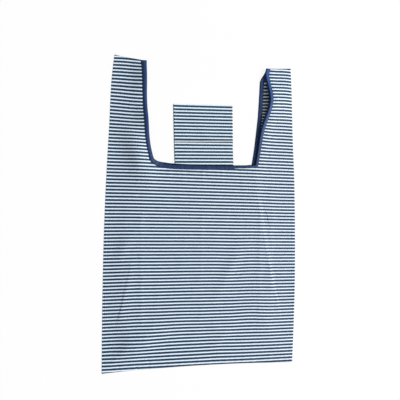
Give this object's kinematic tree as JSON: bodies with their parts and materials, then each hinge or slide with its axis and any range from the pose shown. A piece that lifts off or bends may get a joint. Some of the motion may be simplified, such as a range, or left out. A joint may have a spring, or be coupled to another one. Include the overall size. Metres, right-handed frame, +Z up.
{
  "type": "foldable shopping bag",
  "caption": "Flat-lying vest-style striped fabric shopping bag with integral handles, a bound mouth and a square storage pouch at the mouth.",
  "frame": {"origin": "centre of the bounding box's underside, on the surface that the bag lies on", "axes": "+Y from the bottom seam towards the handle tops, +X to the right of the front, +Z up out of the front"},
  "size_m": [0.355, 0.555, 0.0224],
  "materials": {
    "striped_fabric": "plain-woven polyester with narrow navy and white stripes, slight sheen",
    "bias_tape": "navy satin bias tape"
  },
  "bodies": {
    "root": {"front_panel": "striped_fabric", "back_panel": "striped_fabric", "mouth_binding": "bias_tape", "pouch": "striped_fabric"}
  },
  "joints": []
}
